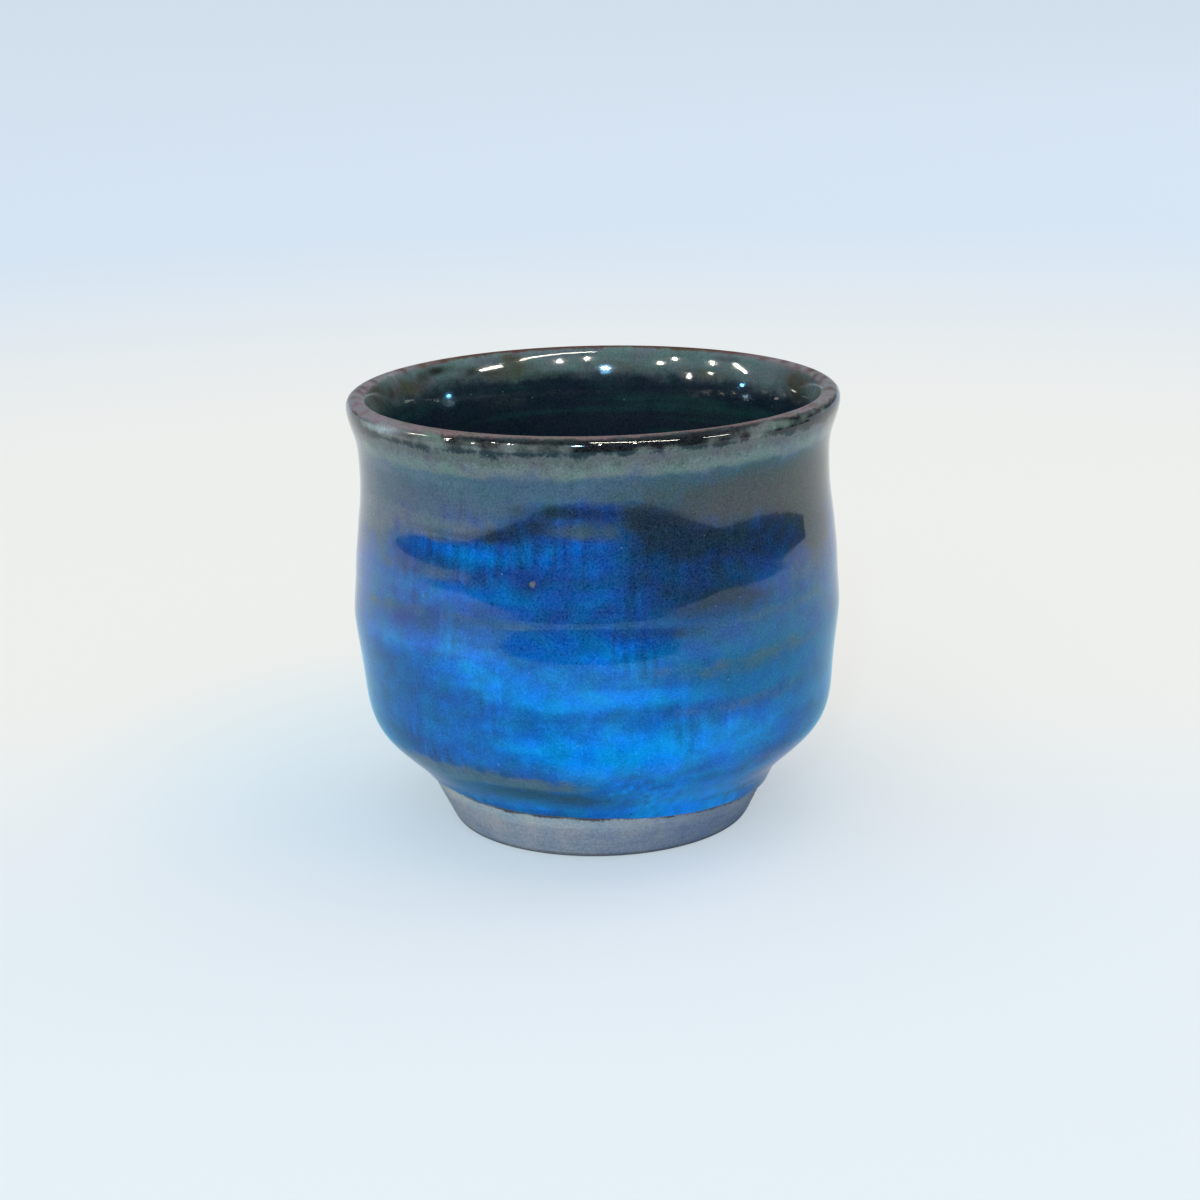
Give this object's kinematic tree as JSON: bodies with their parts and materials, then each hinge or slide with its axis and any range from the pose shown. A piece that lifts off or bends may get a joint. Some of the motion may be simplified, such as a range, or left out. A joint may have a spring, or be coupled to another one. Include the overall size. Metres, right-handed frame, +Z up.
{
  "type": "sake cup",
  "caption": "Small round stoneware drinking cup with a waisted lip, a full belly and a narrow bare foot ring, under a glossy blue glaze with a dark lip.",
  "frame": {"origin": "centre of the foot ring, on the surface the cup stands on", "axes": "+Z up along the axis the cup was thrown on; -Y is the side towards the viewer of the picture and +X is to that viewer's right"},
  "size_m": [0.064, 0.064, 0.0575],
  "materials": {
    "stoneware": "bare fired clay, matt, with fine trimming lines",
    "blue_glaze": "glossy blue glaze with grey green mottling at the neck",
    "dark_lip_glaze": "glossy dark brown glaze, worn to rust on the crest",
    "dark_inner_glaze": "glossy dark teal glaze"
  },
  "bodies": {
    "root": {"clay_body": "stoneware", "outer_glaze": "blue_glaze", "lip_glaze": "dark_lip_glaze", "inner_glaze": "dark_inner_glaze"}
  },
  "joints": []
}
